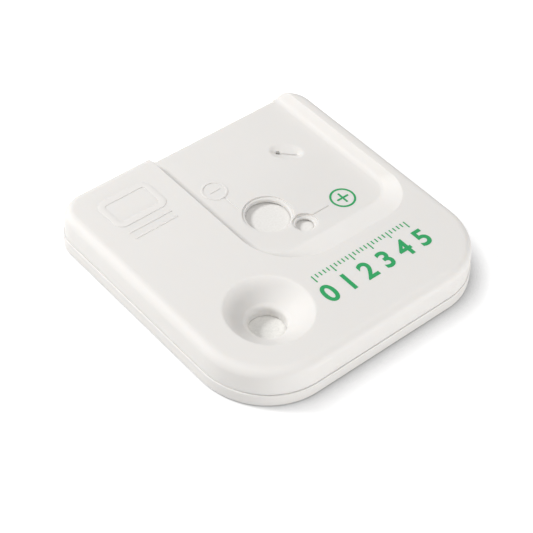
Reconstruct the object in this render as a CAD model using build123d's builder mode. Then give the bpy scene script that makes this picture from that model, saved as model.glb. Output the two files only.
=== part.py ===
from build123d import *
import os
from math import radians, sin, sqrt, tan

os.makedirs("parts", exist_ok=True)

# A lateral flow test cassette: a moulded tray and cover, pressed together over a test strip that
# lies across the housing on its diagonal. Millimetres. X is the reading direction, Y runs away
# from the reader, Z is up, and the origin is the middle of the underside.

# Housing outline seen from above, with large corners beside the sample well
width = 60.0
length = 60.2
front_left_corner = 14.4
front_right_corner = 13.2
back_corner = 6.0

# Heights above the table
tray_height = 3.0
parting_gap = 0.15
top_height = 8.7

# Cover moulding
ledge = 0.25
cover_wall = 1.4
roof = 1.3
floor_plate = 1.0
draft = 2.0
edge_round = 1.9
floor_edge_round = 0.8
inner_round = 0.8

# Sunk reading area, open at the back. At the top of the cover its left and front edges are placed
# from the point halfway between the well and the large window, its right edge from the side.
recess_depth = 2.3
halfway_to_left = 1.24
halfway_to_front = 5.6
right_rim = 3.2
left_wall_angle = 80.0
right_wall_angle = 60.0
front_slope_angle = 21.5
left_corner = 12.0
right_corner = 8.0
left_foot_corner = 8.0
right_foot_corner = 5.0
recess_edge_round = 0.2
recess_foot_round = 1.5

# Sample well, a funnel with a short neck, on the strip's centre line
well_from_pad_end = 6.95
well_rim = 8.3
cone_foot = 4.5
cone_depth = 3.0
cone_wall = 0.6
neck_bore = 3.56
neck_depth = 3.5
neck_wall = 1.0
neck_gap = 0.12
lip_round = 0.9
well_rim_round = 0.8

# Round windows, placed along the strip and to the side of its centre line
result_along = 5.0
result_side = 2.1
result_radius = 4.36
result_step_radius = 5.05
result_step_depth = 0.25
control_along = 3.8
control_side = -5.0
control_radius = 1.75
control_step_radius = 2.52
control_step_depth = 0.5
window_chamfer = 0.18

# End-of-test hole at one end of a short groove, both in an oval dimple
slot_from_pad_end = 6.35
slot_length = 4.4
slot_width = 0.36
slot_depth = 0.25
slot_hole_radius = 0.55
dimple_length = 6.8
dimple_width = 4.7
dimple_depth = 0.7
dimple_round = 1.0
dimple_boss = 0.15

# Engraved leader lines from the windows to their marks
line_width = 0.3
line_depth = 0.15
result_line_x = -1.35
result_line_end = 13.3
control_line_y = -0.45
control_line_end = 13.0

# Tray moulding
floor_thickness = 1.3
tray_foot_round = 0.8
tray_rim_round = 0.2
cover_skin = 0.75
lip_clearance = 0.06
lip_thickness = 0.7
lip_height = 1.0
panel_inset = 4.0
panel_depth = 0.3
gate_radius = 2.2
gate_depth = 0.3
gate_stub_radius = 0.6
gate_stub_height = 0.2

# Press pins of the cover and their sockets in the tray
pin_radius = 1.2
pin_clearance = 0.05
pin_end_gap = 1.1
shoulder_radius = 1.9
shoulder_drop = 0.8
socket_radius = 2.3
corner_pin_inset = 7.6
round_corner_pin_inset = 9.1
side_pin_inset = 6.6
side_pin_offset = 4.0
gusset_thickness = 0.8
gusset_drop = 1.2

# Test strip. Its two ends keep a margin from the housing's sides, and its pads follow from them.
strip_shift = 0.26
strip_width = 14.0
window_gap = 1.35
membrane_thickness = 0.15
membrane_under_conjugate = 2.0
membrane_to_pad_end = 4.0
card_thickness = 0.25
conjugate_length = 5.0
conjugate_thickness = 0.4
conjugate_lap = 0.4
sample_pad_margin = 4.78
sample_pad_bend_gap = 0.19
sample_pad_rise = 3.7
sample_pad_lap = 3.1
sample_pad_thickness = 0.8
sample_pad_seat = 2.2
pad_bend_round = 0.6
absorbent_margin = 3.93
absorbent_length = 16.0
absorbent_thickness = 1.5

# Rails and ribs that carry the strip
rail_clearance = 0.15
rail_thickness = 1.0
rib_thickness = 0.8
rib_pitch = 5.0
press_rib_gap = 0.05
press_rib_length = 12.0

# How far a cutting shape reaches past the surface that it cuts
overrun = 1.0

# Levels that follow from these sizes
cover_bottom = tray_height + parting_gap
reading_floor = top_height - recess_depth
membrane_top = reading_floor - window_gap
card_top = membrane_top - membrane_thickness
card_bottom = card_top - card_thickness
absorbent_bottom = card_top - absorbent_thickness
conjugate_top = membrane_top + conjugate_thickness
overlap_top = conjugate_top + sample_pad_thickness
sample_pad_top = sample_pad_seat + sample_pad_thickness
neck_bottom = sample_pad_top + neck_gap
socket_height = reading_floor - floor_plate - shoulder_drop
pin_bottom = floor_thickness + pin_end_gap
gusset_height = socket_height - gusset_drop
lip_inset = ledge + cover_skin + lip_clearance
tray_inset = lip_inset + lip_thickness
rail_side = strip_width / 2 + rail_clearance

# Places along the strip, from near the middle of the housing towards the slot
half_side = min(width, length) / 2 - strip_shift
sample_pad_start = strip_width / 2 - (half_side - sample_pad_margin) * sqrt(2)
well_along = sample_pad_start + well_from_pad_end
sample_pad_bend = well_along + neck_bore + neck_wall + sample_pad_bend_gap
sample_pad_crest = sample_pad_bend + sample_pad_rise
sample_pad_end = sample_pad_crest + sample_pad_lap
conjugate_start = sample_pad_crest + conjugate_lap
conjugate_end = conjugate_start + conjugate_length
membrane_start = conjugate_end - membrane_under_conjugate
absorbent_end = (half_side - absorbent_margin) * sqrt(2) - strip_width / 2
absorbent_start = absorbent_end - absorbent_length
membrane_end = absorbent_end - membrane_to_pad_end
slot_along = absorbent_end - slot_from_pad_end
card_start = conjugate_start
card_end = absorbent_start

# Planes and centres
strip_middle = (strip_shift, -strip_shift, 0)
strip_plane = Plane(origin=strip_middle, x_dir=(1, 1, 0), z_dir=(0, 0, 1))
strip_profile_plane = Plane(origin=strip_middle, x_dir=(1, 1, 0), z_dir=(1, -1, 0))
well_centre = strip_plane.from_local_coords((well_along, 0, 0))
well_profile_plane = Plane(origin=well_centre, x_dir=(1, 0, 0), z_dir=(0, -1, 0))
well_axis = Axis(well_centre, (0, 0, 1))
result_centre = strip_plane.from_local_coords((result_along, result_side, 0))
control_centre = strip_plane.from_local_coords((control_along, control_side, 0))
recess_left = (well_centre.X + result_centre.X) / 2 - halfway_to_left
recess_right = width / 2 - right_rim
recess_front = (well_centre.Y + result_centre.Y) / 2 - halfway_to_front

# Two pins stand in the corners off the strip, and one beside each quarter of the strip
pin_places = [
    (-width / 2 + corner_pin_inset, length / 2 - corner_pin_inset),
    (width / 2 - round_corner_pin_inset, -length / 2 + round_corner_pin_inset),
    (-width / 2 + side_pin_inset, -side_pin_offset),
    (-side_pin_offset, -length / 2 + side_pin_inset),
    (width / 2 - side_pin_inset, side_pin_offset),
    (side_pin_offset, length / 2 - side_pin_inset),
]


def housing_outline(height, inset):
    """The housing's plan outline at a height, drawn in on every side by inset."""
    with BuildSketch(Plane.XY.offset(height)) as outline:
        Rectangle(width - 2 * inset, length - 2 * inset)
        fillet(outline.vertices().group_by(Axis.Y)[-1], radius=back_corner - inset)
        fillet(outline.vertices().group_by(Axis.Y)[0].sort_by(Axis.X)[0], radius=front_left_corner - inset)
        fillet(outline.vertices().group_by(Axis.Y)[0].sort_by(Axis.X)[-1], radius=front_right_corner - inset)
    return outline.sketch


def recess_wall(edge, angle, height, grow):
    """How far out a wall of the reading area stands at a height, thickened outwards by grow."""
    slope = radians(angle)
    return edge - (top_height - height) / tan(slope) + grow / sin(slope)


def recess_level(height, grow):
    """The reading area's outline at a height, open past the housing's back edge."""
    share = (height - reading_floor) / (top_height - reading_floor)
    left = -recess_wall(-recess_left, left_wall_angle, height, grow)
    right = recess_wall(recess_right, right_wall_angle, height, grow)
    front = -recess_wall(-recess_front, front_slope_angle, height, grow)
    back = length / 2 + overrun
    left_radius = left_foot_corner + (left_corner - left_foot_corner) * share + grow
    right_radius = right_foot_corner + (right_corner - right_foot_corner) * share + grow
    with BuildSketch(Plane.XY.offset(height)) as outline:
        with BuildLine():
            Polyline((left, back), (left, front), (right, front), (right, back), close=True)
        make_face()
        fillet(outline.vertices().group_by(Axis.Y)[0].sort_by(Axis.X)[0], radius=left_radius)
        fillet(outline.vertices().group_by(Axis.Y)[0].sort_by(Axis.X)[-1], radius=right_radius)
    return outline.sketch


def recess_shape(grow):
    """The sunk reading area as a solid, thickened by grow on its walls and floor."""
    low, high = reading_floor - grow, top_height + overrun
    with BuildPart() as recess:
        loft([recess_level(low, grow), recess_level(high, grow)], ruled=True)
        foot = recess.faces().sort_by(Axis.Z)[0].edges().sort_by(Axis.Y)[:-1]
        fillet(foot, radius=recess_foot_round + grow)
    return recess.part


def strip_rectangle(start, end, side):
    """A rectangle in strip coordinates, from start to end and side to each side."""
    with Locations(((start + end) / 2, 0)):
        Rectangle(end - start, 2 * side)


# Hollow inside the cover. The funnel, pin shoulders and press rib stand in it.

with BuildPart() as cover_hollow:
    hollow_height = top_height - roof - cover_bottom
    extrude(housing_outline(cover_bottom, ledge + cover_wall), amount=hollow_height, taper=draft)
    fillet(cover_hollow.faces().sort_by(Axis.Z)[-1].edges(), radius=inner_round)
    add(recess_shape(floor_plate), mode=Mode.SUBTRACT)

    # The narrow rim beside the reading area is solid above the reading floor's underside
    with BuildSketch(Plane.XY.offset(reading_floor - floor_plate)):
        rim_front = recess_front + right_corner
        with Locations(((recess_right + width / 2) / 2 - 1, (rim_front + length / 2) / 2)):
            Rectangle(width / 2 - recess_right + 2, length / 2 - rim_front)
    extrude(amount=top_height - reading_floor + floor_plate, mode=Mode.SUBTRACT)

    with BuildSketch(well_profile_plane):
        with BuildLine():
            Polyline(
                (0, neck_bottom),
                (neck_bore + neck_wall, neck_bottom),
                (neck_bore + neck_wall, top_height - neck_depth - cone_wall),
                (well_rim + cone_wall, top_height - roof),
                (well_rim + cone_wall, top_height),
                (0, top_height),
                close=True,
            )
        make_face()
    revolve(axis=well_axis, mode=Mode.SUBTRACT)

    with BuildSketch(Plane.XY.offset(socket_height)):
        with Locations(*pin_places):
            Circle(shoulder_radius)
    extrude(amount=top_height - socket_height, mode=Mode.SUBTRACT)

    with BuildSketch(strip_plane.offset(overlap_top + press_rib_gap)):
        with Locations(((sample_pad_crest + sample_pad_end) / 2, 0)):
            Rectangle(rib_thickness, press_rib_length)
    extrude(amount=top_height - overlap_top, mode=Mode.SUBTRACT)


# Top cover: one moulding with the sunk reading area, funnel, windows and slot

with BuildPart() as top_cover:
    extrude(housing_outline(cover_bottom, ledge), amount=top_height - cover_bottom, taper=draft)
    fillet(top_cover.faces().sort_by(Axis.Z)[-1].edges(), radius=edge_round)
    add(recess_shape(0), mode=Mode.SUBTRACT)
    top_edges = top_cover.faces().sort_by(Axis.Z)[-1].edges()
    fillet(top_edges.filter_by(GeomType.BSPLINE), radius=recess_edge_round)

    # Round the reading floor off where it runs out at the back
    back_wall = length / 2 - ledge - (reading_floor - cover_bottom) * tan(radians(draft))
    flat_left = -recess_wall(-recess_left, left_wall_angle, reading_floor, 0)
    flat_left += recess_foot_round * tan(radians(left_wall_angle / 2))
    flat_right = recess_wall(recess_right, right_wall_angle, reading_floor, 0)
    flat_right -= recess_foot_round * tan(radians(right_wall_angle / 2))
    with BuildSketch(Plane.YZ.offset(flat_left)):
        with Locations((back_wall - floor_edge_round, reading_floor - floor_edge_round)):
            Rectangle(2 * floor_edge_round, 2 * floor_edge_round, align=(Align.MIN, Align.MIN))
            Circle(floor_edge_round, mode=Mode.SUBTRACT)
    extrude(amount=flat_right - flat_left, mode=Mode.SUBTRACT)
    add(cover_hollow.part, mode=Mode.SUBTRACT)

    # Rebate inside the skirt that goes over the tray's lip
    rebate_height = lip_height - parting_gap + lip_clearance
    extrude(housing_outline(cover_bottom, ledge + cover_skin), amount=rebate_height, mode=Mode.SUBTRACT)

    # Press pins below their shoulders
    with BuildSketch(Plane.XY.offset(pin_bottom)):
        with Locations(*pin_places):
            Circle(pin_radius)
    extrude(amount=socket_height - pin_bottom + overrun)

    # Bore of the sample well: cone, rounded lip and neck
    with BuildSketch(well_profile_plane) as bore_profile:
        with BuildLine():
            cone_slope = (well_rim - cone_foot) / cone_depth
            Polyline(
                (0, neck_bottom - overrun),
                (neck_bore, neck_bottom - overrun),
                (neck_bore, top_height - neck_depth),
                (cone_foot, top_height - cone_depth),
                (well_rim + cone_slope * overrun, top_height + overrun),
                (0, top_height + overrun),
                close=True,
            )
        make_face()
        lip = bore_profile.vertices().filter_by_position(Axis.X, neck_bore, cone_foot)
        fillet(lip.sort_by(Axis.Y)[1:], radius=lip_round)
    revolve(axis=well_axis, mode=Mode.SUBTRACT)

    rim = top_cover.edges().filter_by(GeomType.CIRCLE).filter_by(lambda edge: abs(edge.radius - well_rim) < 0.01)
    fillet(rim, radius=well_rim_round)

    # Windows, each with a shallow step round it
    for centre, step_radius, step_depth, radius in (
        (result_centre, result_step_radius, result_step_depth, result_radius),
        (control_centre, control_step_radius, control_step_depth, control_radius),
    ):
        with BuildSketch(Plane.XY.offset(reading_floor - step_depth)):
            with Locations((centre.X, centre.Y)):
                Circle(step_radius)
        extrude(amount=step_depth + overrun, mode=Mode.SUBTRACT)
        with BuildSketch(Plane.XY.offset(reading_floor - floor_plate - overrun)):
            with Locations((centre.X, centre.Y)):
                Circle(radius)
        extrude(amount=floor_plate + 2 * overrun, mode=Mode.SUBTRACT)
        bore_edges = top_cover.edges().filter_by(GeomType.CIRCLE)
        bore_edges = bore_edges.filter_by(lambda edge: abs(edge.radius - radius) < 0.01)
        chamfer(bore_edges.sort_by(Axis.Z)[-1], length=window_chamfer)

    # Oval dimple with the groove and hole at its bottom, on a low boss under the reading floor
    with BuildSketch(strip_plane.offset(reading_floor - floor_plate - dimple_boss)):
        with Locations((slot_along, 0)):
            Ellipse(dimple_width / 2, dimple_length / 2)
    extrude(amount=dimple_boss + floor_plate / 2)
    with BuildSketch(strip_plane.offset(reading_floor)) as dimple_mouth:
        with Locations((slot_along, 0)):
            Ellipse(dimple_width / 2, dimple_length / 2)
    with BuildSketch(strip_plane.offset(reading_floor - dimple_depth)) as dimple_bottom:
        with Locations((slot_along, 0)):
            Ellipse(slot_width * 0.7, slot_length / 2)
    loft(ruled=True, mode=Mode.SUBTRACT)
    dimple_edges = top_cover.edges().filter_by_position(Axis.Z, reading_floor - 0.001, reading_floor + 0.001)
    dimple_centre = strip_plane.from_local_coords((slot_along, 0, reading_floor))
    fillet(dimple_edges.sort_by_distance(dimple_centre)[0], radius=dimple_round)
    with BuildSketch(strip_plane.offset(reading_floor - dimple_depth - slot_depth)):
        with Locations((slot_along, 0)):
            SlotOverall(slot_length, slot_width, rotation=90)
    extrude(amount=dimple_depth + slot_depth, mode=Mode.SUBTRACT)
    with BuildSketch(strip_plane.offset(membrane_top)):
        with Locations((slot_along, slot_length / 2 - slot_hole_radius)):
            Circle(slot_hole_radius)
    extrude(amount=window_gap, mode=Mode.SUBTRACT)

    # Leader lines
    with BuildSketch(Plane.XY.offset(reading_floor - line_depth)):
        line_start = result_centre.Y + result_radius
        with Locations((result_line_x, (line_start + result_line_end) / 2)):
            Rectangle(line_width, result_line_end - line_start)
        line_start = control_centre.X + control_radius
        with Locations(((line_start + control_line_end) / 2, control_line_y)):
            Rectangle(control_line_end - line_start, line_width)
    extrude(amount=line_depth + overrun, mode=Mode.SUBTRACT)

top_cover.part.label = "top_cover"
export_step(top_cover.part, "parts/top_cover.step")


# Base tray: floor, wall with its lip, strip bed and pin sockets

with BuildPart() as base_tray:
    extrude(housing_outline(0, 0), amount=tray_height)
    fillet(base_tray.faces().sort_by(Axis.Z)[0].edges(), radius=tray_foot_round)
    fillet(base_tray.faces().sort_by(Axis.Z)[-1].edges(), radius=tray_rim_round)
    extrude(housing_outline(tray_height, lip_inset), amount=lip_height)
    hollow_height = tray_height + lip_height - floor_thickness
    extrude(housing_outline(floor_thickness, tray_inset), amount=hollow_height, mode=Mode.SUBTRACT)

    # Rails and end walls round the strip
    rail_start = sample_pad_start - rail_clearance
    rail_end = absorbent_end + rail_clearance
    with BuildSketch(strip_plane.offset(floor_thickness)):
        strip_rectangle(rail_start - rail_thickness, rail_end + rail_thickness, rail_side + rail_thickness)
        with Locations(((rail_start + rail_end) / 2, 0)):
            Rectangle(rail_end - rail_start, 2 * rail_side, mode=Mode.SUBTRACT)
    extrude(amount=membrane_top - floor_thickness)

    # Cross ribs under the sample pad, the card and the absorbent pad
    for start, end, top in (
        (sample_pad_start, sample_pad_bend, sample_pad_seat),
        (card_start, card_end, card_bottom),
        (absorbent_start, absorbent_end, absorbent_bottom),
    ):
        rib_count = max(2, round((end - start) / rib_pitch))
        with BuildSketch(strip_plane.offset(floor_thickness)):
            with Locations(((start + end) / 2, 0)):
                with GridLocations((end - start - 2 * rib_thickness) / (rib_count - 1), 0, rib_count, 1):
                    Rectangle(rib_thickness, 2 * rail_side + rail_thickness)
        extrude(amount=top - floor_thickness)

    # Pin sockets, each tied to the wall by a gusset
    with BuildSketch(Plane.XY.offset(floor_thickness)):
        for x, y in pin_places:
            along_x = abs(x) >= abs(y)
            reach = (width if along_x else length) / 2 - tray_inset - max(abs(x), abs(y)) + lip_thickness / 2
            shift = reach / 2 if max(x, y, key=abs) > 0 else -reach / 2
            with Locations((x + shift, y) if along_x else (x, y + shift)):
                Rectangle(*((reach, gusset_thickness) if along_x else (gusset_thickness, reach)))
        add(housing_outline(floor_thickness, tray_inset - lip_thickness / 2), mode=Mode.INTERSECT)
    extrude(amount=gusset_height - floor_thickness)
    with BuildSketch(Plane.XY.offset(floor_thickness)):
        with Locations(*pin_places):
            Circle(socket_radius)
    extrude(amount=socket_height - floor_thickness)
    with BuildSketch(Plane.XY.offset(floor_thickness)):
        with Locations(*pin_places):
            Circle(pin_radius + pin_clearance)
    extrude(amount=socket_height - floor_thickness, mode=Mode.SUBTRACT)

    # Shallow panel in the underside, with the moulding gate in its middle
    extrude(housing_outline(0, panel_inset), amount=panel_depth, mode=Mode.SUBTRACT)
    with BuildSketch(Plane.XY.offset(panel_depth)):
        Circle(gate_radius)
    extrude(amount=gate_depth, mode=Mode.SUBTRACT)
    with BuildSketch(Plane.XY.offset(panel_depth + gate_depth - gate_stub_height)):
        Circle(gate_stub_radius)
    extrude(amount=gate_stub_height)

base_tray.part.label = "base_tray"
export_step(base_tray.part, "parts/base_tray.step")


# Backing card under the membrane

with BuildPart() as backing_card:
    with BuildSketch(strip_plane.offset(card_bottom)):
        strip_rectangle(card_start, card_end, strip_width / 2)
    extrude(amount=card_thickness)

backing_card.part.label = "backing_card"
export_step(backing_card.part, "parts/backing_card.step")


# Nitrocellulose membrane, on the card and over the front of the absorbent pad

with BuildPart() as nitrocellulose_membrane:
    with BuildSketch(strip_plane.offset(card_top)):
        strip_rectangle(membrane_start, membrane_end, strip_width / 2)
    extrude(amount=membrane_thickness)

nitrocellulose_membrane.part.label = "nitrocellulose_membrane"
export_step(nitrocellulose_membrane.part, "parts/nitrocellulose_membrane.step")


# Conjugate pad, lapped over the start of the membrane

with BuildPart() as conjugate_pad:
    with BuildSketch(strip_plane.offset(membrane_top)):
        strip_rectangle(conjugate_start, conjugate_end, strip_width / 2)
    extrude(amount=conjugate_thickness)

conjugate_pad.part.label = "conjugate_pad"
export_step(conjugate_pad.part, "parts/conjugate_pad.step")


# Sample pad: flat under the well, then bent up onto the conjugate pad

with BuildPart() as sample_pad:
    with BuildSketch(strip_profile_plane) as pad_profile:
        with BuildLine():
            Polyline(
                (sample_pad_start, sample_pad_seat),
                (sample_pad_bend, sample_pad_seat),
                (sample_pad_crest, conjugate_top),
                (sample_pad_end, conjugate_top),
                (sample_pad_end, overlap_top),
                (sample_pad_crest, overlap_top),
                (sample_pad_bend, sample_pad_top),
                (sample_pad_start, sample_pad_top),
                close=True,
            )
        make_face()
        bends = pad_profile.vertices().filter_by_position(Axis.X, sample_pad_bend, sample_pad_crest)
        fillet(bends, radius=pad_bend_round)
    extrude(amount=strip_width / 2, both=True)

sample_pad.part.label = "sample_pad"
export_step(sample_pad.part, "parts/sample_pad.step")


# Absorbent pad under the far end of the membrane

with BuildPart() as absorbent_pad:
    with BuildSketch(strip_plane.offset(absorbent_bottom)):
        strip_rectangle(absorbent_start, absorbent_end, strip_width / 2)
    extrude(amount=absorbent_thickness)

absorbent_pad.part.label = "absorbent_pad"
export_step(absorbent_pad.part, "parts/absorbent_pad.step")
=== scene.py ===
import math

import bpy
from mathutils import Matrix, Vector


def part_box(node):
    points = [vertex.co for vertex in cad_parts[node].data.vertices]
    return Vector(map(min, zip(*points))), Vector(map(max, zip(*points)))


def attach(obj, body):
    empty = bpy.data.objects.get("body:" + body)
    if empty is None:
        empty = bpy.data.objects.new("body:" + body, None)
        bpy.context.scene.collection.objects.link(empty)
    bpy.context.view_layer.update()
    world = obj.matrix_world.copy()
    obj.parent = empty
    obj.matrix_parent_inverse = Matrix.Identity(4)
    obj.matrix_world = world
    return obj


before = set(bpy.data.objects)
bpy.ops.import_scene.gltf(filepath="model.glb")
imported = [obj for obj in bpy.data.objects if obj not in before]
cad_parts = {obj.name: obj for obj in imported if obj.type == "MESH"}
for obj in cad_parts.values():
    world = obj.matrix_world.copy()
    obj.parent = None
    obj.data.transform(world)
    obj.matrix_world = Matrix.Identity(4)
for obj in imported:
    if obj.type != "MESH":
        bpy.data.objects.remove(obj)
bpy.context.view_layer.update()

# Camera. The cassette lies turned about 43 degrees, seen from its front left corner and from well
# above, through a long lens held slightly out of level.
camera_turn = math.radians(-43.055)
camera_height = math.radians(45.776)
camera_roll = math.radians(3.818)
camera_distance = 0.301367
looked_at = Vector((-0.001485, 0.000347, 0.0))
backward = Vector(
    (
        math.sin(camera_turn) * math.cos(camera_height),
        -math.cos(camera_turn) * math.cos(camera_height),
        math.sin(camera_height),
    )
)
level_right = Vector((math.cos(camera_turn), math.sin(camera_turn), 0.0))
level_up = backward.cross(level_right)
right = level_right * math.cos(camera_roll) + level_up * math.sin(camera_roll)
up = level_up * math.cos(camera_roll) - level_right * math.sin(camera_roll)
place = looked_at + backward * camera_distance
lens = bpy.data.cameras.new("long_lens")
lens.sensor_width = 36.0
lens.lens = 107.463
lens.shift_x = -0.00017
lens.shift_y = -0.01214
lens.clip_start = 0.01
camera = bpy.data.objects.new("camera", lens)
bpy.context.scene.collection.objects.link(camera)
camera.matrix_world = Matrix(
    (
        (right.x, up.x, backward.x, place.x),
        (right.y, up.y, backward.y, place.y),
        (right.z, up.z, backward.z, place.z),
        (0.0, 0.0, 0.0, 1.0),
    )
)
bpy.context.scene.camera = camera


# Housing plastic. The cover and the tray are injection moulded in warm white polystyrene, with a
# fine satin spark finish on the mould and the faintest mottle where the melt flowed.
def housing_plastic(name, colour, glow_through):
    plastic = bpy.data.materials.new(name)
    plastic.use_nodes = True
    nodes, links = plastic.node_tree.nodes, plastic.node_tree.links
    surface = nodes["Principled BSDF"]
    surface.inputs["IOR"].default_value = 1.5
    surface.inputs["Specular IOR Level"].default_value = 0.35
    surface.inputs["Subsurface Weight"].default_value = glow_through
    surface.inputs["Subsurface Radius"].default_value = (1.0, 0.85, 0.7)
    surface.inputs["Subsurface Scale"].default_value = 0.0012
    where = nodes.new("ShaderNodeTexCoord")

    flow = nodes.new("ShaderNodeTexNoise")
    flow.inputs["Scale"].default_value = 45.0
    flow.inputs["Detail"].default_value = 3.0
    links.new(where.outputs["Object"], flow.inputs["Vector"])
    tone = nodes.new("ShaderNodeValToRGB")
    tone.color_ramp.elements[0].position = 0.3
    tone.color_ramp.elements[0].color = (colour[0] * 0.985, colour[1] * 0.985, colour[2] * 0.985, 1.0)
    tone.color_ramp.elements[1].position = 0.7
    tone.color_ramp.elements[1].color = (colour[0], colour[1], colour[2], 1.0)
    links.new(flow.outputs["Fac"], tone.inputs["Fac"])
    links.new(tone.outputs["Color"], surface.inputs["Base Color"])

    gloss = nodes.new("ShaderNodeMapRange")
    gloss.inputs["To Min"].default_value = 0.55
    gloss.inputs["To Max"].default_value = 0.66
    links.new(flow.outputs["Fac"], gloss.inputs["Value"])
    links.new(gloss.outputs["Result"], surface.inputs["Roughness"])

    spark = nodes.new("ShaderNodeTexNoise")
    spark.inputs["Scale"].default_value = 5200.0
    spark.inputs["Detail"].default_value = 2.0
    links.new(where.outputs["Object"], spark.inputs["Vector"])
    skin = nodes.new("ShaderNodeBump")
    skin.inputs["Strength"].default_value = 0.05
    skin.inputs["Distance"].default_value = 0.00002
    links.new(spark.outputs["Fac"], skin.inputs["Height"])
    links.new(skin.outputs["Normal"], surface.inputs["Normal"])
    return plastic


cover_plastic = housing_plastic("cover_plastic", (0.79, 0.77, 0.745), 0.25)
tray_plastic = housing_plastic("tray_plastic", (0.78, 0.76, 0.735), 0.25)
mark_plastic = housing_plastic("mark_plastic", (0.79, 0.77, 0.745), 0.0)
for name, plastic in (("top_cover", cover_plastic), ("base_tray", tray_plastic)):
    for material_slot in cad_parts[name].material_slots:
        material_slot.material = plastic


# Membrane. Cast nitrocellulose, a dense white film with the dry, even face of fine chalk, on
# which the coated lines are still invisible.
membrane_white = bpy.data.materials.new("membrane_white")
membrane_white.use_nodes = True
nodes, links = membrane_white.node_tree.nodes, membrane_white.node_tree.links
surface = nodes["Principled BSDF"]
surface.inputs["Roughness"].default_value = 0.85
where = nodes.new("ShaderNodeTexCoord")
pores = nodes.new("ShaderNodeTexNoise")
pores.inputs["Scale"].default_value = 2600.0
pores.inputs["Detail"].default_value = 4.0
links.new(where.outputs["Object"], pores.inputs["Vector"])
tone = nodes.new("ShaderNodeValToRGB")
tone.color_ramp.elements[0].position = 0.25
tone.color_ramp.elements[0].color = (0.775, 0.755, 0.725, 1.0)
tone.color_ramp.elements[1].position = 0.7
tone.color_ramp.elements[1].color = (0.835, 0.82, 0.795, 1.0)
links.new(pores.outputs["Fac"], tone.inputs["Fac"])
links.new(tone.outputs["Color"], surface.inputs["Base Color"])
grain = nodes.new("ShaderNodeBump")
grain.inputs["Strength"].default_value = 0.15
grain.inputs["Distance"].default_value = 0.00003
links.new(pores.outputs["Fac"], grain.inputs["Height"])
links.new(grain.outputs["Normal"], surface.inputs["Normal"])
for material_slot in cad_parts["nitrocellulose_membrane"].material_slots:
    material_slot.material = membrane_white


# Pads. Soft felts of cotton and glass fibre, matt and slightly woolly, with fibres lying every
# way. The sample pad shows at the bottom of the well; the other two are inside the housing.
def fibre_pad(name, colour, fibre_scale):
    felt = bpy.data.materials.new(name)
    felt.use_nodes = True
    nodes, links = felt.node_tree.nodes, felt.node_tree.links
    surface = nodes["Principled BSDF"]
    surface.inputs["Roughness"].default_value = 0.95
    surface.inputs["Sheen Weight"].default_value = 0.1
    where = nodes.new("ShaderNodeTexCoord")
    fibres = nodes.new("ShaderNodeTexNoise")
    fibres.inputs["Scale"].default_value = fibre_scale
    fibres.inputs["Detail"].default_value = 6.0
    fibres.inputs["Roughness"].default_value = 0.7
    fibres.inputs["Distortion"].default_value = 1.2
    links.new(where.outputs["Object"], fibres.inputs["Vector"])
    tone = nodes.new("ShaderNodeValToRGB")
    tone.color_ramp.elements[0].position = 0.3
    tone.color_ramp.elements[0].color = (colour[0] * 0.86, colour[1] * 0.86, colour[2] * 0.86, 1.0)
    tone.color_ramp.elements[1].position = 0.65
    tone.color_ramp.elements[1].color = (colour[0], colour[1], colour[2], 1.0)
    links.new(fibres.outputs["Fac"], tone.inputs["Fac"])
    links.new(tone.outputs["Color"], surface.inputs["Base Color"])
    nap = nodes.new("ShaderNodeBump")
    nap.inputs["Strength"].default_value = 0.4
    nap.inputs["Distance"].default_value = 0.00008
    links.new(fibres.outputs["Fac"], nap.inputs["Height"])
    links.new(nap.outputs["Normal"], surface.inputs["Normal"])
    return felt


for name, felt in (
    ("sample_pad", fibre_pad("sample_pad_felt", (0.82, 0.81, 0.78), 1500.0)),
    ("conjugate_pad", fibre_pad("conjugate_pad_felt", (0.82, 0.79, 0.74), 2200.0)),
    ("absorbent_pad", fibre_pad("absorbent_pad_felt", (0.86, 0.85, 0.83), 1100.0)),
):
    for material_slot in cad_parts[name].material_slots:
        material_slot.material = felt


# Backing card. White laminating card of polystyrene sheet, smooth, with a trace of its rolling.
card_white = bpy.data.materials.new("card_white")
card_white.use_nodes = True
nodes, links = card_white.node_tree.nodes, card_white.node_tree.links
surface = nodes["Principled BSDF"]
surface.inputs["Roughness"].default_value = 0.5
where = nodes.new("ShaderNodeTexCoord")
rolling = nodes.new("ShaderNodeTexNoise")
rolling.inputs["Scale"].default_value = 700.0
links.new(where.outputs["Object"], rolling.inputs["Vector"])
tone = nodes.new("ShaderNodeValToRGB")
tone.color_ramp.elements[0].color = (0.83, 0.83, 0.82, 1.0)
tone.color_ramp.elements[1].color = (0.87, 0.87, 0.86, 1.0)
links.new(rolling.outputs["Fac"], tone.inputs["Fac"])
links.new(tone.outputs["Color"], surface.inputs["Base Color"])
for material_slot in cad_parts["backing_card"].material_slots:
    material_slot.material = card_white


# End of the well's neck. The cover's funnel runs down into a short round neck of the same moulding,
# whose last millimetre hangs inside the housing, with its bore broken off just above the pad.
well_middle = Vector((-0.014836, -0.015356, 0.0))
neck_radius = 0.00456
neck_wall = 0.001
neck_foot = 0.00312
neck_joint = 0.00406
for loose in bpy.context.selected_objects:
    loose.select_set(False)
bpy.ops.mesh.primitive_circle_add(
    vertices=96, radius=neck_radius, fill_type="NGON", location=(well_middle.x, well_middle.y, neck_foot)
)
neck_end = bpy.context.object
neck_end.name = "neck_end"
bpy.ops.object.transform_apply(location=True, rotation=True, scale=True)
bpy.ops.object.mode_set(mode="EDIT")
bpy.ops.mesh.select_all(action="SELECT")
bpy.ops.mesh.inset(thickness=neck_wall)
bpy.ops.mesh.delete(type="FACE")
bpy.ops.mesh.select_all(action="SELECT")
bpy.ops.mesh.extrude_region_move(TRANSFORM_OT_translate={"value": (0.0, 0.0, neck_joint - neck_foot)})
bpy.ops.mesh.select_all(action="SELECT")
bpy.ops.mesh.normals_make_consistent(inside=False)
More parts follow.
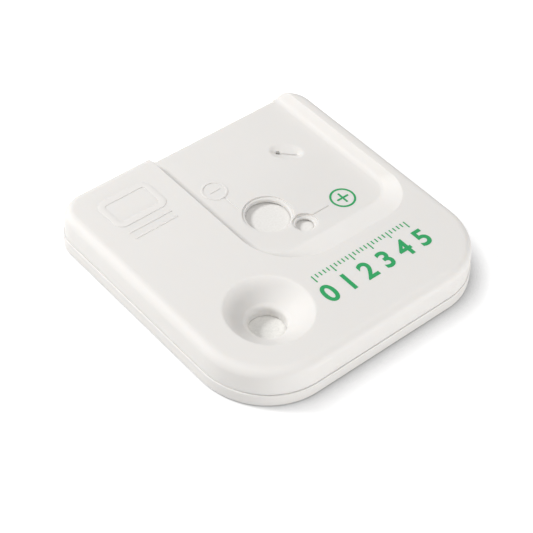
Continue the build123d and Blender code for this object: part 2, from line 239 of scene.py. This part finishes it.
bpy.ops.mesh.select_mode(type="VERT")
bpy.ops.mesh.select_all(action="DESELECT")
bpy.ops.object.mode_set(mode="OBJECT")
for corner in neck_end.data.vertices:
    reach = (corner.co.xy - well_middle.xy).length
    corner.select = corner.co.z < (neck_foot + neck_joint) / 2 and reach < neck_radius - neck_wall / 2
bpy.ops.object.mode_set(mode="EDIT")
bpy.ops.mesh.bevel(offset=0.0001, segments=2)
bpy.ops.object.mode_set(mode="OBJECT")
bpy.ops.object.shade_smooth_by_angle(angle=math.radians(40))
neck_end.data.materials.append(cover_plastic)
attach(neck_end, "root")


# Write-on frame. A flat raised band moulded on the left of the cover, with two ruled lines under
# it, so that a sample number can be pencilled in. It is part of the cover's own plastic.
cover_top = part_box("top_cover")[1][2]
moulded_height = 0.00012
frame_middle = Vector((-0.01785, 0.0206, cover_top))
frame_length = 0.0118
frame_depth = 0.0080
band_width = 0.0013
for loose in bpy.context.selected_objects:
    loose.select_set(False)
bpy.ops.mesh.primitive_plane_add(size=1.0, location=frame_middle)
write_on_frame = bpy.context.object
write_on_frame.name = "write_on_frame"
write_on_frame.scale = (frame_length, frame_depth, 1.0)
bpy.ops.object.transform_apply(location=True, rotation=False, scale=True)
bpy.ops.object.mode_set(mode="EDIT")
bpy.ops.mesh.select_all(action="SELECT")
bpy.ops.mesh.bevel(offset=0.0019, segments=8, affect="VERTICES")
bpy.ops.mesh.select_all(action="SELECT")
bpy.ops.mesh.inset(thickness=band_width)
bpy.ops.mesh.delete(type="FACE")
bpy.ops.mesh.select_all(action="SELECT")
bpy.ops.mesh.extrude_region_move(TRANSFORM_OT_translate={"value": (0.0, 0.0, moulded_height)})
bpy.ops.mesh.select_all(action="SELECT")
bpy.ops.mesh.normals_make_consistent(inside=False)
bpy.ops.object.mode_set(mode="OBJECT")
edge_break = write_on_frame.modifiers.new("edge_break", "BEVEL")
edge_break.width = 0.00004
edge_break.segments = 2
edge_break.limit_method = "ANGLE"
bpy.ops.object.modifier_apply(modifier="edge_break")
bpy.ops.object.shade_smooth_by_angle(angle=math.radians(40))
write_on_frame.data.materials.append(mark_plastic)
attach(write_on_frame, "root")

line_places = (0.0149, 0.0131)
for loose in bpy.context.selected_objects:
    loose.select_set(False)
bpy.ops.mesh.primitive_plane_add(size=1.0, location=(frame_middle.x, line_places[0], cover_top))
first_line = bpy.context.object
first_line.name = "ruled_line_1"
first_line.scale = (0.0098, 0.00035, 1.0)
bpy.ops.object.transform_apply(location=True, rotation=False, scale=True)
bpy.ops.object.mode_set(mode="EDIT")
bpy.ops.mesh.select_all(action="SELECT")
bpy.ops.mesh.bevel(offset=0.00017, segments=4, affect="VERTICES")
bpy.ops.mesh.select_all(action="SELECT")
bpy.ops.mesh.extrude_region_move(TRANSFORM_OT_translate={"value": (0.0, 0.0, moulded_height)})
bpy.ops.mesh.select_all(action="SELECT")
bpy.ops.mesh.normals_make_consistent(inside=False)
bpy.ops.object.mode_set(mode="OBJECT")
edge_break = first_line.modifiers.new("edge_break", "BEVEL")
edge_break.width = 0.00004
edge_break.segments = 2
edge_break.limit_method = "ANGLE"
bpy.ops.object.modifier_apply(modifier="edge_break")
bpy.ops.object.shade_smooth_by_angle(angle=math.radians(40))
first_line.data.materials.append(mark_plastic)


def shifted_copy(pattern, name, shift):
    twin = pattern.copy()
    twin.data = pattern.data.copy()
    twin.data.transform(Matrix.Translation(shift))
    twin.name = name
    bpy.context.scene.collection.objects.link(twin)
    return twin


second_line = shifted_copy(first_line, "ruled_line_2", Vector((0.0, line_places[1] - line_places[0], 0.0)))
for ruled_line in (first_line, second_line):
    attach(ruled_line, "root")


# Control signs. A minus in a ring is raised in the moulding at the end of the large window's
# line, and a plus in a ring is pad printed in green at the end of the small window's line.
reading_floor = 0.0064
ring_radius = 0.0026
stroke = 0.00042


def sign_ring(name, centre, height):
    for loose in bpy.context.selected_objects:
        loose.select_set(False)
    bpy.ops.mesh.primitive_circle_add(vertices=64, radius=ring_radius, fill_type="NGON", location=centre)
    ring = bpy.context.object
    ring.name = name
    bpy.ops.object.transform_apply(location=True, rotation=True, scale=True)
    bpy.ops.object.mode_set(mode="EDIT")
    bpy.ops.mesh.select_all(action="SELECT")
    bpy.ops.mesh.inset(thickness=stroke)
    bpy.ops.mesh.delete(type="FACE")
    bpy.ops.mesh.select_all(action="SELECT")
    bpy.ops.mesh.extrude_region_move(TRANSFORM_OT_translate={"value": (0.0, 0.0, height)})
    bpy.ops.mesh.select_all(action="SELECT")
    bpy.ops.mesh.normals_make_consistent(inside=False)
    bpy.ops.object.mode_set(mode="OBJECT")
    return ring


def sign_bar(name, centre, size_x, size_y, height, corner=0.00012):
    for loose in bpy.context.selected_objects:
        loose.select_set(False)
    bpy.ops.mesh.primitive_plane_add(size=1.0, location=centre)
    bar = bpy.context.object
    bar.name = name
    bar.scale = (size_x, size_y, 1.0)
    bpy.ops.object.transform_apply(location=True, rotation=False, scale=True)
    bpy.ops.object.mode_set(mode="EDIT")
    bpy.ops.mesh.select_all(action="SELECT")
    bpy.ops.mesh.bevel(offset=corner, segments=3, affect="VERTICES")
    bpy.ops.mesh.select_all(action="SELECT")
    bpy.ops.mesh.extrude_region_move(TRANSFORM_OT_translate={"value": (0.0, 0.0, height)})
    bpy.ops.mesh.select_all(action="SELECT")
    bpy.ops.mesh.normals_make_consistent(inside=False)
    bpy.ops.object.mode_set(mode="OBJECT")
    return bar


minus_middle = Vector((-0.00175, 0.0160, reading_floor))
minus_ring = sign_ring("minus_ring", minus_middle, moulded_height)
minus_bar = sign_bar("minus_bar", minus_middle, 0.0026, stroke, moulded_height)
for moulded in (minus_ring, minus_bar):
    for loose in bpy.context.selected_objects:
        loose.select_set(False)
    moulded.select_set(True)
    bpy.context.view_layer.objects.active = moulded
    edge_break = moulded.modifiers.new("edge_break", "BEVEL")
    edge_break.width = 0.00004
    edge_break.segments = 2
    edge_break.limit_method = "ANGLE"
    bpy.ops.object.modifier_apply(modifier="edge_break")
    bpy.ops.object.shade_smooth_by_angle(angle=math.radians(40))
    moulded.data.materials.append(mark_plastic)
    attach(moulded, "root")

print_ink = bpy.data.materials.new("green_print_ink")
print_ink.use_nodes = True
nodes, links = print_ink.node_tree.nodes, print_ink.node_tree.links
surface = nodes["Principled BSDF"]
surface.inputs["Roughness"].default_value = 0.45
where = nodes.new("ShaderNodeTexCoord")
cover_speckle = nodes.new("ShaderNodeTexNoise")
cover_speckle.inputs["Scale"].default_value = 2400.0
cover_speckle.inputs["Detail"].default_value = 3.0
links.new(where.outputs["Object"], cover_speckle.inputs["Vector"])
tone = nodes.new("ShaderNodeValToRGB")
tone.color_ramp.elements[0].position = 0.3
tone.color_ramp.elements[0].color = (0.014, 0.34, 0.105, 1.0)
tone.color_ramp.elements[1].position = 0.7
tone.color_ramp.elements[1].color = (0.005, 0.30, 0.085, 1.0)
links.new(cover_speckle.outputs["Fac"], tone.inputs["Fac"])
links.new(tone.outputs["Color"], surface.inputs["Base Color"])
film = nodes.new("ShaderNodeBump")
film.inputs["Strength"].default_value = 0.08
film.inputs["Distance"].default_value = 0.00002
links.new(cover_speckle.outputs["Fac"], film.inputs["Height"])
links.new(film.outputs["Normal"], surface.inputs["Normal"])

ink_height = 0.00002
plus_middle = Vector((0.0166, -0.00045, reading_floor))
plus_upright = sign_bar("plus_upright", plus_middle, stroke, 0.0028, ink_height)
plus_cross = sign_bar("plus_cross", plus_middle, 0.0028, stroke, ink_height)
crossing = plus_cross.modifiers.new("crossing", "BOOLEAN")
crossing.operation = "UNION"
crossing.object = plus_upright
bpy.ops.object.modifier_apply(modifier="crossing")
bpy.data.objects.remove(plus_upright, do_unlink=True)
printed = [sign_ring("plus_ring", plus_middle, ink_height), plus_cross]


# Number scale. Pad printed on the front of the cover in the same green: a row of fine ticks,
# with plain bold numbers from 0 to 5 under the long ones.
scale_start_x = -0.0036
scale_step = 0.0046
tick_top_y = -0.0139
tick_width = 0.00026
tick_pitch = scale_step / 5
long_tick_length = 0.0018
short_tick_length = 0.0010
long_tick_middle = Vector((scale_start_x, tick_top_y - long_tick_length / 2, cover_top))
long_tick = sign_bar("long_tick", long_tick_middle, tick_width, long_tick_length, ink_height, 0.00006)
short_tick_middle = Vector((scale_start_x + tick_pitch, tick_top_y - short_tick_length / 2, cover_top))
short_tick = sign_bar("short_tick", short_tick_middle, tick_width, short_tick_length, ink_height, 0.00006)
ticks = [long_tick, short_tick]
for tick in range(2, 26):
    if tick % 5 == 0:
        ticks.append(shifted_copy(long_tick, "tick", Vector((tick * tick_pitch, 0.0, 0.0))))
    else:
        ticks.append(shifted_copy(short_tick, "tick", Vector(((tick - 1) * tick_pitch, 0.0, 0.0))))
for loose in bpy.context.selected_objects:
    loose.select_set(False)
for tick in ticks:
    tick.select_set(True)
scale_ticks = ticks[0]
bpy.context.view_layer.objects.active = scale_ticks
bpy.ops.object.join()
scale_ticks.name = "scale_ticks"
printed.append(scale_ticks)

for number in range(6):
    for loose in bpy.context.selected_objects:
        loose.select_set(False)
    number_middle = (scale_start_x + number * scale_step, -0.01925, cover_top + ink_height / 2)
    bpy.ops.object.text_add(location=number_middle)
    printed_number = bpy.context.object
    printed_number.name = "scale_number_%d" % number
    printed_number.data.body = str(number)
    printed_number.data.size = 0.0058
    printed_number.data.extrude = ink_height / 2
    printed_number.data.align_x = "CENTER"
    printed_number.data.align_y = "CENTER"
    bpy.ops.object.convert(target="CURVE")
    printed_number = bpy.context.object
    for stroke_edge in printed_number.data.splines:
        points = list(stroke_edge.bezier_points)
        for point, following in zip(points, points[1:] + points[:1]):
            gap = point.co - following.co
            if gap.length < 0.00003:
                following.handle_left += gap
                following.handle_right += gap
                following.co += gap
    printed_number.data.offset = 0.00014
    bpy.ops.object.convert(target="MESH")
    printed_number = bpy.context.object
    bpy.ops.object.transform_apply(location=True, rotation=True, scale=True)
    bpy.ops.object.mode_set(mode="EDIT")
    bpy.ops.mesh.select_all(action="SELECT")
    bpy.ops.mesh.remove_doubles(threshold=0.000001)
    bpy.ops.mesh.normals_make_consistent(inside=False)
    bpy.ops.object.mode_set(mode="OBJECT")
    printed.append(printed_number)

for mark in printed:
    mark.data.materials.clear()
    mark.data.materials.append(print_ink)
    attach(mark, "root")


# Table. A plain white sweep that stays white to the camera. It darkens in the cassette's shadow,
# and painted contact shade darkens its paint and its white glow close to where the tray stands,
# most on the side away from the key lamp.
def background_rays(nodes, links):
    ray = nodes.new("ShaderNodeLightPath")
    seen_or_mirrored = nodes.new("ShaderNodeMath")
    seen_or_mirrored.operation = "ADD"
    links.new(ray.outputs["Is Camera Ray"], seen_or_mirrored.inputs[0])
    links.new(ray.outputs["Is Glossy Ray"], seen_or_mirrored.inputs[1])
    seen = nodes.new("ShaderNodeMath")
    seen.operation = "ADD"
    seen.use_clamp = True
    links.new(seen_or_mirrored.outputs["Value"], seen.inputs[0])
    links.new(ray.outputs["Is Transmission Ray"], seen.inputs[1])
    return seen.outputs["Value"]


for loose in bpy.context.selected_objects:
    loose.select_set(False)
bpy.ops.mesh.primitive_plane_add(size=6.0, location=(0.0, 0.0, -0.00005))
table = bpy.context.object
table.name = "table"
table_white = bpy.data.materials.new("table_white")
table_white.use_nodes = True
nodes, links = table_white.node_tree.nodes, table_white.node_tree.links
surface = nodes["Principled BSDF"]
surface.inputs["Roughness"].default_value = 0.9
surface.inputs["Specular IOR Level"].default_value = 0.0
seen = background_rays(nodes, links)
# Painted contact shade: an occlusion factor, leaned towards the key lamp's side, darkens the table's paint
# and its white glow close to the cassette.
key_side = nodes.new("ShaderNodeCombineXYZ")
key_side.inputs["X"].default_value = -0.50
key_side.inputs["Y"].default_value = 0.33
key_side.inputs["Z"].default_value = 0.80
openness = nodes.new("ShaderNodeAmbientOcclusion")
openness.inputs["Distance"].default_value = 0.0045
openness.samples = 8
links.new(key_side.outputs["Vector"], openness.inputs["Normal"])
painted_contact_shade = nodes.new("ShaderNodeMath")
painted_contact_shade.operation = "POWER"
painted_contact_shade.inputs[1].default_value = 0.8
links.new(openness.outputs["AO"], painted_contact_shade.inputs[0])
paint_with_painted_shade = nodes.new("ShaderNodeMath")
paint_with_painted_shade.operation = "MULTIPLY"
paint_with_painted_shade.inputs[1].default_value = 0.88
links.new(painted_contact_shade.outputs["Value"], paint_with_painted_shade.inputs[0])
links.new(paint_with_painted_shade.outputs["Value"], surface.inputs["Base Color"])
white_level_with_painted_shade = nodes.new("ShaderNodeMath")
white_level_with_painted_shade.operation = "MULTIPLY"
white_level_with_painted_shade.inputs[1].default_value = 0.42
links.new(painted_contact_shade.outputs["Value"], white_level_with_painted_shade.inputs[0])
lift = nodes.new("ShaderNodeMath")
lift.operation = "MULTIPLY"
links.new(white_level_with_painted_shade.outputs["Value"], lift.inputs[1])
links.new(seen, lift.inputs[0])
surface.inputs["Emission Color"].default_value = (1.0, 1.0, 1.0, 1.0)
links.new(lift.outputs["Value"], surface.inputs["Emission Strength"])
table.data.materials.append(table_white)


# Light. A key lamp on the left, a broad one high over the near side and a low weak fill on the
# right, in an even white studio.
def soft_lamp(name, place, size, power):
    lamp = bpy.data.lights.new(name, "AREA")
    lamp.shape = "DISK"
    lamp.size = size
    lamp.energy = power
    lamp_object = bpy.data.objects.new(name, lamp)
    bpy.context.scene.collection.objects.link(lamp_object)
    lamp_object.location = place
    lamp_object.rotation_euler = (-Vector(place)).to_track_quat("-Z", "Y").to_euler()


soft_lamp("left_key", (-0.31, 0.36, 0.36), 0.15, 2.4)
soft_lamp("near_top", (-0.09, -0.39, 0.69), 0.34, 1.85)
soft_lamp("right_low", (0.232, -0.763, 0.063), 0.11, 2.3)

studio = bpy.data.worlds.new("white_studio")
bpy.context.scene.world = studio
studio.use_nodes = True
nodes, links = studio.node_tree.nodes, studio.node_tree.links
backdrop = nodes["Background"]
backdrop.inputs["Color"].default_value = (1.0, 1.0, 1.0, 1.0)
seen = background_rays(nodes, links)
level = nodes.new("ShaderNodeMapRange")
level.inputs["To Min"].default_value = 0.35
level.inputs["To Max"].default_value = 1.0
links.new(seen, level.inputs["Value"])
links.new(level.outputs["Result"], backdrop.inputs["Strength"])

bpy.context.scene.view_settings.view_transform = "Standard"
